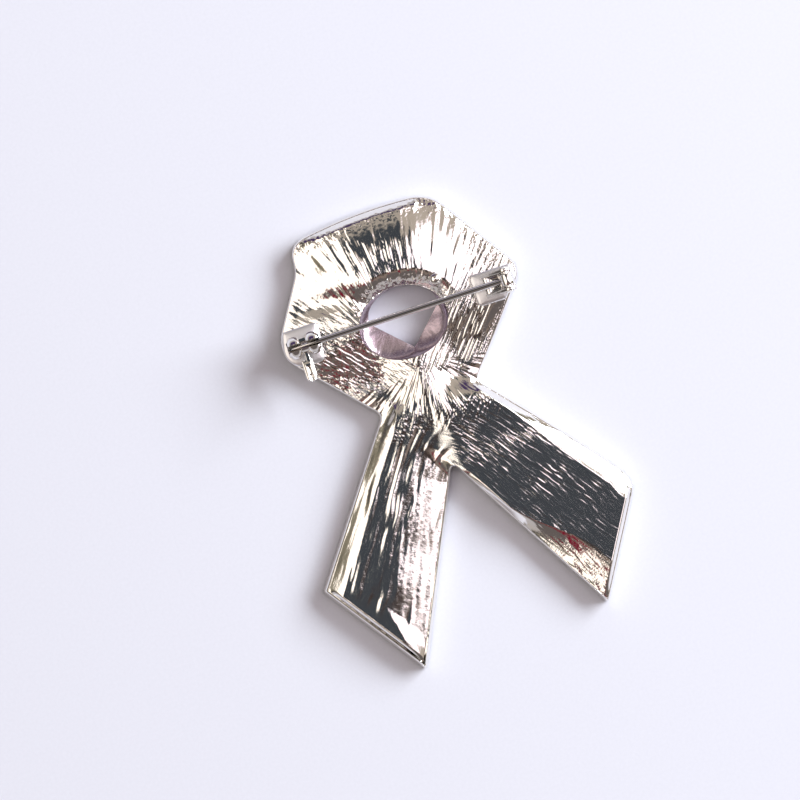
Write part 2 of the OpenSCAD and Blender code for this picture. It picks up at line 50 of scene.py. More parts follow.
# The outline, clockwise from the loop's left shoulder.
# Columns: x, y, start of the corner's rounding, bulge of the next side, draft of its wall,
# reach and power of its swell, and the share of the swell that is a rolled edge.
OUTLINE = np.array([
    [-10.95, 13.35, 2.6, 0.75, 0.35, 7.0, 2.0, 0.45],  # left shoulder, then the top
    [8.10, 14.25, 2.6, 0.0, 0.35, 4.6, 2.0, 0.2],      # right shoulder
    [16.40, 1.70, 2.0, 0.1, 0.35, 1.5, 1.6, 0.1],      # right corner, then the right band
    [6.70, -9.95, 0.9, 0.25, 0.35, 1.9, 1.1, 0],       # right notch, then the right tail's outer side
    [21.80, -28.05, 2.2, 0.0, 0.4, 0.6, 2.0, 0],       # right tail's corner, then its slanted end
    [13.65, -41.90, 0.9, 0.0, 0.4, 4.0, 1.5, 0],       # right tail's tip, then its inner side
    [0.40, -19.20, 0.8, 0.0, 0.35, 6.0, 2.0, 0],       # crotch, then the left tail's inner side
    [-10.60, -42.90, 1.0, 0.0, 0.7, 0.6, 2.0, 0],      # left tail's tip, then its slanted end
    [-20.10, -29.35, 0.5, 0.0, 0.7, 1.9, 1.15, 0],     # left tail's corner, then its outer side
    [-6.25, -10.55, 0.8, 0.0, 0.35, 2.0, 1.6, 0.1],    # left notch, then the left band
    [-16.55, 0.65, 3.4, 0.0, 0.35, 4.0, 1.6, 0.2],     # left corner, then the left side
    [-10.85, 10.00, 1.2, 0.0, 0.35, 4.0, 2.0, 0.2],    # notch under the left shoulder
])
CORNERS = len(OUTLINE)
AT, ROUND = OUTLINE[:, :2], OUTLINE[:, 2]
SIDE = np.roll(AT, -1, 0) - AT
SIDE_LEN = np.hypot(SIDE[:, 0], SIDE[:, 1])
BULGE, DRAFT, REACH, POWER, ROLLED = OUTLINE[:, 3:].T
# Numbers of corners, and of the sides that set out from them
TOP, RIGHT_BAND, RIGHT_NOTCH, RIGHT_TIP, CROTCH, LEFT_TIP, LEFT_TAIL, LEFT_NOTCH = 0, 2, 3, 5, 6, 7, 8, 9
# Length of half a corner's arc, as a share of the corner's rounding
ARC_SHARE = 0.85

# Folds pressed into the back. Columns: from x, y, to x, y, depth, half width.
FOLDS = [
    [-11.6, 5.6, -4.7, 4.2, 0.55, 1.6],    # between the top band and the left band
    [2.6, -7.6, 7.2, -9.6, 0.12, 0.6],     # between the right band and the right tail
    [-6.8, -10.2, -2.6, -8.6, 0.12, 0.9],  # between the left band and the left tail
]
# Heights of the back's edge, of the opening's edge and lip, of the tray's floor and rim, and the rim's width
EDGE_Z, OPENING_Z, LIP_Z, FLOOR_Z, RIM_Z, RIM_W = 2.0, 2.7, 1.75, 1.2, 0.2, 0.55
# Rise of the back above its edge, on the loop and on each tail
LOOP_CROWN, RIGHT_CROWN, LEFT_CROWN = 2.0, 1.0, 0.8
# Reach of the dip to the opening, reach of a rolled edge, and the least rise
OPENING_REACH, ROLLED_REACH, LEAST_SWELL = 2.2, 1.0, 0.18
# Where the loop's rise passes into the tails' down Y, and the left tail's into the right's along X
LOOP_TO_TAIL, LEFT_TO_RIGHT = (6, -18), (-1.0, 2.0)
# The loop bends down to its sides at two distances from its middle, less so on its two lower bands.
BEND_AT, BEND_SLOPE, BEND_WIDTH, LOW_SHARE = (3.9, 9.0), (0.2, -0.1), 0.5, (0.25, 0.35)
# The lower bands sink by up to so much, from one height on and over so far.
SINK, SINK_FROM, SINK_OVER = 1.35, 3.5, 11.0
# The opening's edge is an ellipse on the back and a drop on the front.
BACK_MIDDLE, BACK_HALF = np.array([0.1, -0.35]), np.array([5.65, 4.6])
FRONT_MIDDLE, FRONT_HALF_W, FRONT_UP, FRONT_DOWN = np.array([0.5, 0.8]), 4.55, 3.4, 4.5


def smooth(a, b, x):
    """3t^2 - 2t^3 with t = (x - a) / (b - a) held between 0 and 1."""
    t = np.clip((x - a) / (b - a), 0, 1)
    return t * t * (3 - 2 * t)


def unit(v):
    """Vectors of length 1."""
    return v / np.linalg.norm(v, axis=-1, keepdims=True)


def length(v):
    """The length of plane vectors."""
    return np.hypot(v[..., 0], v[..., 1])


def side_at(i, s):
    """A side is straight with a parabolic bulge: a + d s + 4 b s (1 - s) n."""
    d = SIDE[i]
    n = unit(np.stack([-d[:, 1], d[:, 0]], 1))
    return AT[i] + d * s[:, None] + n * (4 * BULGE[i] * s * (1 - s))[:, None]


def corner_at(i, s):
    """A corner is a quadratic curve from one side to the next, pulled to the corner's point."""
    before = (i - 1) % CORNERS
    a = side_at(before, 1 - ROUND[i] / SIDE_LEN[before])
    b = side_at(i, ROUND[i] / SIDE_LEN[i])
    s = s[:, None]
    return a * (1 - s) ** 2 + AT[i] * 2 * s * (1 - s) + b * s * s


def rim_at(u):
    """The front outline at u, where u = 3.5 is half way from corner 3 to corner 4."""
    u = np.atleast_1d(np.asarray(u, float)) + CORNERS
    i = np.floor(u).astype(int) % CORNERS
    j = (i + 1) % CORNERS
    near, far = ARC_SHARE * ROUND[i], ARC_SHARE * ROUND[j]
    straight = SIDE_LEN[i] - ROUND[i] - ROUND[j]
    way = (u - np.floor(u)) * (near + straight + far)
    first = corner_at(i, 0.5 + 0.5 * way / near)
    middle = side_at(i, (ROUND[i] + way - near) / SIDE_LEN[i])
    last = corner_at(j, 0.5 * (way - near - straight) / far)
    rest = np.where((way < near + straight)[:, None], middle, last)
    return np.where((way < near)[:, None], first, rest)


def inward(u):
    """The unit normal of the outline that points into the metal."""
    d = unit(rim_at(np.asarray(u) + 0.01) - rim_at(np.asarray(u) - 0.01))
    return np.stack([d[:, 1], -d[:, 0]], 1)


def draft_at(u):
    """The draft of the wall at u, passing evenly from one corner's to the next."""
    u = np.atleast_1d(np.asarray(u, float)) + CORNERS
    i = np.floor(u).astype(int) % CORNERS
    t = u - np.floor(u)
    return DRAFT[i] * (1 - t) + DRAFT[(i + 1) % CORNERS] * t


def edge_at(u, back):
    """The outline on the front (back = 0) and on the back (back = 1), drawn in by the wall's draft."""
    return rim_at(u) + inward(u) * (draft_at(u) * back)[:, None]


def drop_at(angle):
    """The opening's front edge: a drop with its point down."""
    c, s = np.cos(angle), np.sin(angle)
    p = np.where(s < 0, 2.0, 1.0)
    reach = np.where(s < 0, FRONT_DOWN, FRONT_UP)
    across, up = FRONT_HALF_W * np.sign(c) * np.abs(c) ** p, reach * np.sign(s) * np.abs(s) ** p
    return FRONT_MIDDLE + np.stack([across, up], -1)


def ellipse_at(angle):
    """The opening's back edge."""
    return BACK_MIDDLE + BACK_HALF * np.stack([np.cos(angle), np.sin(angle)], -1)


def angle_of(p):
    """The angle of points seen from the middle of the opening's back edge."""
    return np.arctan2(p[..., 1] - BACK_MIDDLE[1], p[..., 0] - BACK_MIDDLE[0])


def gap_to_line(p, a, b):
    """The distance from the points p to the line from a to b."""
    d = b - a
    t = np.clip(((p - a) @ d) / (d @ d), 0, 1)
    return length(p - a - t[..., None] * d)


# Straight pieces that a side is measured by
SIDE_STEPS = 12


def gaps_to_sides(p):
    """The distance from the points p to each side of the back's edge, one row a side."""
    rows = []
    for i in range(CORNERS):
        e = edge_at(i + np.linspace(0, 1, SIDE_STEPS + 1), 1)
        rows.append(np.min([gap_to_line(p, a, b) for a, b in zip(e[:-1], e[1:])], axis=0))
    return np.array(rows)


def bend(x, k):
    """k ln(1 + exp(x / k)): level, then a slope of 1, rounded over the width k."""
    return k * np.logaddexp(0, x / k)


# Sides along which the swell's reach widens: its least, and where it begins and stops to widen.
# That is down Y, but at the crotch it is by the gap to the left tail's end.
WIDENING = {CROTCH: (3, 0.8, 3.0), RIGHT_TIP: (0.5, -26, -35), RIGHT_NOTCH: (0.8, -13, -24)}


def swell_at(p, gaps):
    """The product over the sides of 1 - (1 - q) ((1 - m) (1 - gap / reach)^power + m (1 - gap / rolled)^2).

    m is the side's rolled share. q is 1 where the right tail lies full over the metal at the crotch.
    """
    y = p[..., 1]
    d = unit(AT[CROTCH] - AT[RIGHT_TIP])
    past_crotch = (p - AT[CROTCH]) @ np.array([-d[1], d[0]])
    reaches = dict(enumerate(REACH))
    for i, (least, begin, stop) in WIDENING.items():
        way = gaps[LEFT_TIP] if i == CROTCH else y
        reaches[i] = least + (REACH[i] - least) * smooth(begin, stop, way)
    square = {RIGHT_TIP: smooth(-28, -18.5, y), CROTCH: 1 - smooth(-0.2, 1.4, past_crotch)}
    swell = np.ones(y.shape)
    for i in range(CORNERS):
        lost = ((1 - ROLLED[i]) * (1 - np.minimum(gaps[i] / reaches[i], 1)) ** POWER[i]
                + ROLLED[i] * (1 - np.minimum(gaps[i] / ROLLED_REACH, 1)) ** 2)
        swell = swell * (1 - (1 - square.get(i, 0)) * lost)
    return swell


def dip_share(p):
    """How far the back dips to the opening: (1 - gap / reach)^2 along its top, and 0 along its lower half."""
    q = p - BACK_MIDDLE
    angle = np.degrees(np.arctan2(q[..., 1] / BACK_HALF[1], q[..., 0] / BACK_HALF[0]))
    gap = np.maximum(0, length(q) - length(ellipse_at(angle_of(p)) - BACK_MIDDLE))
    along_top = smooth(-10, 40, angle) * (1 - smooth(110, 165, angle))
    share = along_top * (1 - np.minimum(gap / OPENING_REACH, 1)) ** 2
    return np.where(angle < 0, 0, share)


def back_z(p, gaps):
    """Height of the back: edge + swell (crown and dip - bends - sinking - folds), of a least rise."""
    x, y = p[..., 0], p[..., 1]
    tail, right = smooth(*LOOP_TO_TAIL, y), smooth(*LEFT_TO_RIGHT, x)
    crown = LOOP_CROWN * (1 - tail) + tail * (RIGHT_CROWN * right + LEFT_CROWN * (1 - right))
    dip = dip_share(p)
    low = LOW_SHARE[0] + (LOW_SHARE[1] - LOW_SHARE[0]) * smooth(-1, 1, x)
    keep = low * smooth(-14, -8, y) + (1 - low) * smooth(-2, 4.5, y)
    bends = [slope * bend(np.abs(x) - at, BEND_WIDTH) for at, slope in zip(BEND_AT, BEND_SLOPE)]
    sink_share = (1 - smooth(-8, -12, y)) * smooth(0, 5.5, np.abs(x))
    sunk = SINK * np.clip((SINK_FROM - y) / SINK_OVER, 0, 1) * sink_share
    folds = 0
    for x1, y1, x2, y2, depth, half in FOLDS:
        folds = folds + depth * np.exp(-(gap_to_line(p, np.array([x1, y1]), np.array([x2, y2])) / half) ** 2)
    height = crown * (1 - dip) + (OPENING_Z - EDGE_Z) * dip - keep * sum(bends) - sunk - folds
    return EDGE_Z + swell_at(p, gaps) * (LEAST_SWELL + bend(height - LEAST_SWELL, 0.1))


# Strokes brushed into the wax before it was cast

NOISE_SIZE = 256


def value_noise(u, v, seed):
    """Smoothly joined random values between -1 and 1 on a unit lattice that repeats."""
    table = np.random.RandomState(seed).rand(NOISE_SIZE, NOISE_SIZE) * 2 - 1
    iu, iv = np.floor(u).astype(int), np.floor(v).astype(int)
    fu, fv = smooth(0, 1, u - iu), smooth(0, 1, v - iv)
    corner = [[table[(iu + a) % NOISE_SIZE, (iv + b) % NOISE_SIZE] for b in (0, 1)] for a in (0, 1)]
    low = corner[0][0] * (1 - fu) + corner[1][0] * fu
    return low * (1 - fv) + (corner[0][1] * (1 - fu) + corner[1][1] * fu) * fv


# A stroke wanders by so many pitches. Shorter strokes and beads are so many pitches wide,
# a share of the long strokes or so many pitches long, and beads have a share of the shorter strokes' height.
WANDER, SHORT_WIDE, SHORT_LONG, BEAD_WIDE, BEAD_LONG, BEAD_SHARE = 0.35, 0.55, 0.4, 0.5, 0.7, 0.4


def stroke_noise(across, along, pitch, long, broken, seed):
    """Long wandering ridges of one pitch + broken x (shorter strokes + beads)."""
    bent = across / pitch + WANDER * value_noise(across / pitch / 3, along / long * 1.5, seed + 7)
    ridges = value_noise(bent, along / long, seed)
    short = value_noise(across / (pitch * SHORT_WIDE), along / (long * SHORT_LONG), seed + 1)
    beads = value_noise(across / (pitch * BEAD_WIDE), along / (pitch * BEAD_LONG), seed + 2)
    return ridges + broken * (short + BEAD_SHARE * beads)


def along_side(p, i):
    """Coordinates across and along side i."""
    d = SIDE[i] / SIDE_LEN[i]
    w = p - AT[i]
    return w @ np.array([d[1], -d[0]]), w @ d


def polar(p, x, y, radius, up):
    """Coordinates round and away from a middle, with the angle given as an arc at that radius."""
    q = p - np.array([x, y])
    return np.arctan2(q[..., 0], up * q[..., 1]) * radius, length(q)


def across_tail(near, far):
    """The coordinate across a tail: its width x near gap / both gaps."""
    return TAIL_WIDTH * near / (near + far + 1e-6)


# Strokes of each run of the ribbon: pitch, length, depth, share of the shorter ones that break them
STROKES = {
    "top": (0.42, 3.4, 0.030, 0.26),
    "right_band": (0.24, 3.0, 0.055, 0.26),
    "left_band": (0.22, 1.0, 0.042, 0.30),
    "right_tail": (0.20, 1.5, 0.014, 0.26),
    "left_tail": (0.56, 4.4, 0.048, 0.13),
    "fan": (0.36, 2.4, 0.038, 0.20),
    "ring": (0.34, 0.6, 0.085, 0.26),
}
TAIL_WIDTH = 11.5
# Middle, radius and sense of the strokes on the loop's top, across the knot and round the opening
TOP_ARC, FAN_ARC, RING_ARC = (0, -8.0, 17.0, 1), (1.2, -4.5, 9.0, -1), (*BACK_MIDDLE, 5.5, 1)
# Where the tails' strokes, the fan's and the top's set in along Y
TAIL_FADE, FAN_FADE, TOP_FADE = (-10, -15.5), (-6.0, -8.5), (-1.5, 2.5)
# The casting is patchy, and rough along its top and by the hinge: size of the patches, depth of the
# roughness, sizes of its coarse and fine grain, and the share of the fine one
PATCH, ROUGH_DEPTH, COARSE, FINE, FINE_SHARE = 3.1, 0.028, 0.33, 0.16, 0.45
STROKE_SEED, PATCH_SEED, COARSE_SEED, FINE_SEED = 11, 91, 97, 98


def stroke_fields(p, gaps):
    """For each run: its share at the points p, and its coordinates across and along the strokes."""
    x, y = p[..., 0], p[..., 1]
    tail = smooth(*TAIL_FADE, y)
    right_tail, right_band = smooth(-0.5, 1.5, x), smooth(-1, 1, x)
    fan = (1 - tail) * smooth(*FAN_FADE, y)
    top = (1 - tail) * (1 - fan) * smooth(*TOP_FADE, y - 0.25 * np.abs(x))
    band = (1 - tail) * (1 - fan) - top
    return {
        "top": (top, *polar(p, *TOP_ARC)),
        "right_band": (band * right_band, *along_side(p, RIGHT_BAND)),
        "left_band": (band * (1 - right_band), *along_side(p, LEFT_NOTCH)),
        "right_tail": (tail * right_tail, across_tail(gaps[RIGHT_NOTCH], gaps[RIGHT_TIP]),
                       along_side(p, RIGHT_NOTCH)[1]),
        "left_tail": (tail * (1 - right_tail), across_tail(gaps[LEFT_TAIL], gaps[CROTCH]),
                      along_side(p, LEFT_TAIL)[1]),
        "fan": (fan, *polar(p, *FAN_ARC)),
        "ring": (smooth(0.02, 0.3, dip_share(p)), *polar(p, *RING_ARC)),
    }


def relief(p, gaps):
    """The height of the strokes and the roughness, and the coordinates across and along the strokes."""
    x, y = p[..., 0], p[..., 1]
    fields = stroke_fields(p, gaps)
    patches = np.clip(value_noise(x / PATCH, y / PATCH, PATCH_SEED) + 0.35, 0, 1)
    # The top's strokes deepen by the hinge, along the edge and left of the middle. The right tail's fade down
    # to its end, in patches, but deepen there along its inner side. The left tail's fade at its end.
    fade = {
        "top": (1 + 1.3 * smooth(8.5, 13, x) + 1.5 * (1 - smooth(0.2, 1.6, gaps[TOP]))
                + 0.5 * smooth(-8, -5.5, x) * (1 - smooth(1, 3, x))),
        "right_tail": ((0.3 + 0.7 * smooth(-32, -16, y)) * (0.5 + 0.9 * patches)
                       + 1.8 * (1 - smooth(1, 4.5, gaps[RIGHT_TIP])) * smooth(-27, -33, y)),
        "left_tail": 0.1 + 0.9 * smooth(0.8, 2.8, gaps[LEFT_TIP]),
    }
    z, across, along = 0, 0, 0
    for k, (name, (pitch, long, depth, broken)) in enumerate(STROKES.items()):
        share, a, b = fields[name]
        noise = stroke_noise(a, b, pitch, long, broken, STROKE_SEED + 10 * k)
        z = z + share * depth * fade.get(name, 1) * noise
        across, along = across + share * a, along + share * b
    rough = np.maximum(1 - smooth(0.9, 2.6, gaps[TOP]), smooth(9, 12, x) * smooth(1.5, 3.5, y))
    coarse = value_noise(x / COARSE, y / COARSE, COARSE_SEED)
    fine = value_noise(x / FINE, y / FINE, FINE_SEED)
    return z + ROUGH_DEPTH * rough * (coarse + FINE_SHARE * fine), np.stack([across, along], -1)


# Distance at which a slope is measured
PROBE = 0.04


def on_back(p):
    """Points of the back with its strokes, their normals by its slope, and the stroke coordinates."""
    def height(q):
        """The height with its strokes, and the stroke coordinates."""
        gaps = gaps_to_sides(q)
        z, uv = relief(q, gaps)
        return back_z(q, gaps) + z, uv
    z, uv = height(p)
    slope_x = (height(p + np.array([PROBE, 0]))[0] - z) / PROBE
    slope_y = (height(p + np.array([0, PROBE]))[0] - z) / PROBE
    normals = unit(np.stack([-slope_x, -slope_y, np.ones(z.shape)], -1))
    return np.concatenate([p, z[..., None]], -1), normals, uv


# Helpers for meshes

rim_line = rim_at(np.arange(0, CORNERS, 0.01))
ORIGIN = np.array([*(rim_line.min(0) + rim_line.max(0)) / 2, 0.0])


def level(p, z):
    """Points of the plane at the height z."""
    return np.concatenate([p, np.broadcast_to(z, p.shape[:-1])[..., None]], -1)


def grid_faces(rows, cols, close_cols=False):
    """Quads of a grid of rows by cols points, whose rows may be closed."""
    r, c = np.arange(rows - 1)[:, None], np.arange(cols if close_cols else cols - 1)[None, :]
    next_c = (c + 1) % cols
    quads = (r * cols + c, (r + 1) * cols + c, (r + 1) * cols + next_c, r * cols + next_c)
    return np.stack(np.broadcast_arrays(*quads), -1).reshape(-1, 4)


# Edges that turn by more than this stay sharp.
SHARP_DEG = 40.0


class Shell:
    """Collects grids and polygons into one mesh."""

    def __init__(self):
        self.points, self.faces, self.uv, self.normals, self.count = [], [], [], [], 0

    def add(self, points, faces, uv=None, normals=None):
        """Points, with faces of as many corners each. Without uv, the plane coordinates take its place."""
        points = np.asarray(points, float).reshape(-1, 3)
        self.points.append(points)
        self.faces += (np.asarray(faces, int) + self.count).tolist()
        self.uv.append(points[:, :2] if uv is None else uv.reshape(-1, 2))
        self.normals.append(np.zeros((len(points), 3)) if normals is None else normals.reshape(-1, 3))
        self.count += len(points)

    def grid(self, grid, out=None, uv=None, normals=None, **closed):
        """A grid of points, turned so that its faces look along out, or away from its middle."""
        faces = grid_faces(grid.shape[0], grid.shape[1], **closed)
        flat = grid.reshape(-1, 3)
        facing = np.cross(flat[faces[:, 2]] - flat[faces[:, 0]], flat[faces[:, 3]] - flat[faces[:, 1]])
        out = grid - (flat.min(0) + flat.max(0)) / 2 if out is None else np.asarray(out, float)
        out = np.broadcast_to(out, grid.shape).reshape(-1, 3)[faces[:, 0]]
        if np.sum(facing * out) < 0:
            faces = faces[:, ::-1]
        self.add(grid, faces, uv, normals)

    def piece(self, name, body, material, replaces):
        """An object of the points in millimetres, shaded, dressed and riding on its body."""
        points = (np.concatenate(self.points) - ORIGIN) * MM
        mesh = bpy.data.meshes.new(name)
        mesh.from_pydata(points.tolist(), [], self.faces)
        mesh.update()
        loops = np.zeros(len(mesh.loops), np.int32)
        mesh.loops.foreach_get("vertex_index", loops)
        layer = mesh.uv_layers.new(name="strokes")
        layer.data.foreach_set("uv", np.concatenate(self.uv).astype(np.float32)[loops].ravel())
        mesh.polygons.foreach_set("use_smooth", [True] * len(mesh.polygons))
        normals = np.concatenate(self.normals)
        if np.any(normals):
            mesh.normals_split_custom_set_from_vertices(normals.tolist())
        else:
            mesh.set_sharp_from_angle(angle=math.radians(SHARP_DEG))
        mesh.materials.append(material)
        made = bpy.data.objects.new(name, mesh)
        bpy.context.scene.collection.objects.link(made)
        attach(made, body)
        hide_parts(replaces)

    def casting(self, name, material):
        """A piece that takes its part of the casting's place."""
        self.piece(name, "ribbon", material, "ribbon_casting")


# Materials

def linear(hex_colour):
    """sRGB hex to linear red, green, blue and alpha."""
    rgb = [int(hex_colour[k:k + 2], 16) / 255 for k in (1, 3, 5)]
    return [c / 12.92 if c <= 0.04045 else ((c + 0.055) / 1.055) ** 2.4 for c in rgb] + [1.0]


def bare_tree(owner):
    """The emptied node tree of a material or of the world."""
    owner.use_nodes = True
    owner.node_tree.nodes.clear()
    return owner.node_tree


def add_node(tree, kind, settings=None, **inputs):
    """Adds a node. An input goes by its name, or by i and its number, and takes a value or a link."""
    node = tree.nodes.new(kind)
    for key, value in (settings or {}).items():
        setattr(node, key, value)
    for key, value in inputs.items():
        socket = node.inputs[int(key[1:]) if key[1:].isdigit() else key.replace("_", " ")]
        if isinstance(value, bpy.types.NodeSocket):
            tree.links.new(value, socket)
        else:
            socket.default_value = value
    return node


# The setting that makes a mix node mix colours
RGBA = {"data_type": "RGBA"}


def metal(name, colour, roughness, bumps):
    """A bare metal. Columns of bumps: coordinates, bumps per mm along each of them, depth in mm."""
    material = bpy.data.materials.new(name)
    tree = bare_tree(material)
    place = add_node(tree, "ShaderNodeTexCoord")
    below = {}
    for source, scale, depth in bumps:
        factor = 1.0 if source == "UV" else 1 / MM
        spot = add_node(tree, "ShaderNodeMapping", Vector=place.outputs[source],
                        Scale=[s * factor for s in scale])
        noise = add_node(tree, "ShaderNodeTexNoise", Vector=spot.outputs[0], Scale=1.0, Detail=2.0)
        bump = add_node(tree, "ShaderNodeBump", Height=noise.outputs[0], Strength=1.0,
                        Distance=depth * MM, **below)
        below = {"Normal": bump.outputs[0]}
    shader = add_node(tree, "ShaderNodeBsdfPrincipled", Base_Color=linear(colour), Metallic=1.0,
                      Roughness=roughness, **below)
    add_node(tree, "ShaderNodeOutputMaterial", Surface=shader.outputs[0])
    return material


def mottled(name, first, second, per_mm, detail, **finish):
    """A material that wavers between two colours, so many times in a mm."""
    material = bpy.data.materials.new(name)
    tree = bare_tree(material)
    place = add_node(tree, "ShaderNodeTexCoord")
    noise = add_node(tree, "ShaderNodeTexNoise", Vector=place.outputs["Object"], Scale=per_mm / MM,
                     Detail=detail)
    colour = add_node(tree, "ShaderNodeMix", RGBA, i0=noise.outputs[0], i6=linear(first), i7=linear(second))
    shader = add_node(tree, "ShaderNodeBsdfPrincipled", Base_Color=colour.outputs[2], **finish)
    add_node(tree, "ShaderNodeOutputMaterial", Surface=shader.outputs[0])
    return material


# Nickel plate over zinc alloy that was brushed in the wax: almost a mirror, with hairs along the strokes
# and a fine cast grain
plate = metal("nickel_plate_brushed", "#F1EEEA", 0.09, [
    ("UV", (9.0, 0.9, 1.0), 0.004), ("Object", (5.0, 5.0, 5.0), 0.004)])
# The same plate over smooth metal, on the fittings and the walls: a mirror that wavers
plate_smooth = metal("nickel_plate_smooth", "#F1EEEA", 0.07, [("Object", (1.6, 1.6, 1.6), 0.012)])
# The soldered pads, etched by the flux under the plate: a soft white sheen
plate_satin = metal("nickel_plate_satin", "#ECEAEC", 0.36, [("Object", (3.0, 3.0, 3.0), 0.01)])
# The opening's wall, filed by hand before it was plated, so duller than the rest. Its darker pinkish grey is
# painted shade of the opening and a painted rose reflection of the stones' light.
wall_plate_painted_shade = metal("nickel_wall_plate_painted_shade", "#BDADB6", 0.24, [
    ("Object", (1.4, 1.4, 1.4), 0.03), ("Object", (7.0, 7.0, 7.0), 0.006)])
# Steel wire, drawn and polished: a mirror with faint lines along it
wire = metal("drawn_steel_wire", "#ECEAE8", 0.05, [("Object", (0.05, 4.0, 4.0), 0.004)])
# Rose glass on a foil back: the foil shows the colour, and the glass its gloss
rose = mottled("rose_glass_foiled", "#B8174F", "#E8397B", 0.9, 2.0, Metallic=0.55, Roughness=0.06,
               Coat_Weight=1.0, Coat_Roughness=0.02, Coat_IOR=1.55)
# White paper, pressed from pulp: dull, with a faint cloud of fibres
paper = mottled("white_paper", "#CBCCD6", "#D2D3DD", 2.5, 3.0, Roughness=0.8)

# The casting's back

# Size of the grid's cells on the walls, across the knot, down the tails and along the front's rim,
# rows of points from the opening to the loop's edge, and the length of a tail
CELL, KNOT_CELL, TAIL_CELL, RIM_CELL, BAND_ROWS, TAIL_LENGTH = 0.07, 0.046, 0.056, 0.3, 120, 34.0
# Share of a tail's length from the knot to the crotch
TURN = 6 / 22
# The wall below the back's edge. Columns: share of the way down, share of the draft.
WALL = ((0, 0), (0.025, 0.18), (0.07, 0.36), (0.14, 0.5), (0.25, 0.62), (0.5, 0.8), (0.8, 0.94), (0.95, 1),
        (1, 0.93))
# The opening's wall. Columns: share of the way to the drop, share of the fall to the lip.
OPENING_WALL = ((0.03, 0.1), (0.1, 0.25), (0.3, 0.5), (0.6, 0.75), (0.9, 0.93), (1.0, 1.0))
# Foot of the lip, and the bevel below it
LIP_FOOT_Z, BEVEL = 1.5, 0.05
LOOP_PIECES = ("left_band_back", "left_shoulder_back", "right_shoulder_back", "right_band_back")


def steps(total, cell):
    """How many cells fit on a length."""
    return max(2, int(round(total / cell)))


def along_outline(sides, cell):
    """Places u along some of the outline's sides, a cell apart."""
    counts = [steps(SIDE_LEN[i % CORNERS], cell) for i in sides]
    return np.concatenate([i + np.arange(n) / n for i, n in zip(sides, counts)])


def tail_sides(right, rows, cols):
    """Places u of a tail's inner side, which sets out from the crotch, of its outer side and of its end."""
    sign = -1 if right else 1
    v, u = np.linspace(0, 1, rows), np.linspace(0, 1, cols)
    inner = CROTCH + sign * np.clip((v - TURN) / (1 - TURN), 0, 1)
    outer = (RIGHT_NOTCH if right else LEFT_NOTCH) - sign * v
    end = (RIGHT_TIP if right else LEFT_TIP) + sign * u
    return inner, outer, end


def tail_spots(right, inner_u, outer_u, end_u):
    """A tail as a blend of its four sides: the sum of both pairs' straight blends, less the corners' blend.

    It runs from the knot to the slanted end, and from its inner to its outer side.
    """
    v, u = np.linspace(0, 1, len(outer_u)), np.linspace(0, 1, len(end_u))
    knot = edge_at([RIGHT_NOTCH, LEFT_NOTCH], 1)
    middle, notch = knot.mean(0), knot[0 if right else 1]
    from_knot = middle + (edge_at(CROTCH, 1)[0] - middle) * (np.minimum(v, TURN) / TURN)[:, None]
    inner = np.where((v < TURN)[:, None], from_knot, edge_at(inner_u, 1))
    outer, end = edge_at(outer_u, 1), edge_at(end_u, 1)
    start = middle + (notch - middle) * u[:, None]
    u, v = u[None, :, None], v[:, None, None]
    corners = (start[0] * (1 - v) + end[0] * v) * (1 - u) + (start[-1] * (1 - v) + end[-1] * v) * u
    return inner[:, None] * (1 - u) + outer[:, None] * u + start[None] * (1 - v) + end[None] * v - corners


def wall_of(shell, u, top):
    """A wall from the back's edge, whose points are given, down to the front's rim."""
    inner, outer = edge_at(u, 1), edge_at(u, 0)
    rows = [np.concatenate([inner + (outer - inner) * out, top[:, 2:] + (RIM_Z - top[:, 2:]) * down], 1)
            for down, out in WALL]
    shell.grid(np.array(rows), level(-inward(u), 0.0))


def back_piece(name, points, normals, uv):
    """A piece of the back from a grid of points, with their normals and stroke coordinates."""
    back = Shell()
    back.grid(points, [0, 0, 1], uv=uv, normals=normals)
    back.casting(name, plate)


# The loop, from the left notch round to the right notch, closed by the line across the knot
u_loop = np.append(along_outline(range(LEFT_NOTCH, CORNERS + RIGHT_NOTCH), CELL), CORNERS + RIGHT_NOTCH)
knot_ends = edge_at([RIGHT_NOTCH, LEFT_NOTCH], 1)
half_knot = steps(length(knot_ends[0] - knot_ends[1]) / 2, KNOT_CELL)
knot_steps = np.linspace(0, 1, 2 * half_knot + 1)[1:, None]
knot_line = knot_ends[0] * (1 - knot_steps) + knot_ends[1] * knot_steps
loop_edge = np.concatenate([edge_at(u_loop, 1), knot_line])
band = np.linspace(0, 1, BAND_ROWS)[:, None, None]
loop_inner = ellipse_at(angle_of(loop_edge))
points, normals, uv = on_back(loop_inner * (1 - band) + loop_edge * band)
cuts = [*np.linspace(0, len(u_loop) - 1, len(LOOP_PIECES) + 1).astype(int), len(loop_edge) - 1]
for name, start, end in zip((*LOOP_PIECES, "knot_back"), cuts[:-1], cuts[1:]):
    run = slice(start, end + 1)
    back_piece(name, points[:, run], normals[:, run], uv[:, run])
opening_top = points[0]
walls = Shell()
wall_of(walls, u_loop, points[-1, :len(u_loop)])

# The tails, each from the knot's middle and one of its ends
rows, cols = steps(TAIL_LENGTH, TAIL_CELL), half_knot + 1
free = np.linspace(0, 1, rows) >= TURN
for right, name in ((True, "right_tail_back"), (False, "left_tail_back")):
    inner_u, outer_u, end_u = tail_sides(right, rows, cols)
    points, normals, uv = on_back(tail_spots(right, inner_u, outer_u, end_u))
    back_piece(name, points, normals, uv)
    wall_of(walls, inner_u[free], points[free, 0])
    wall_of(walls, outer_u, points[:, -1])
    wall_of(walls, end_u, points[-1])
walls.casting("side_walls", plate_smooth)

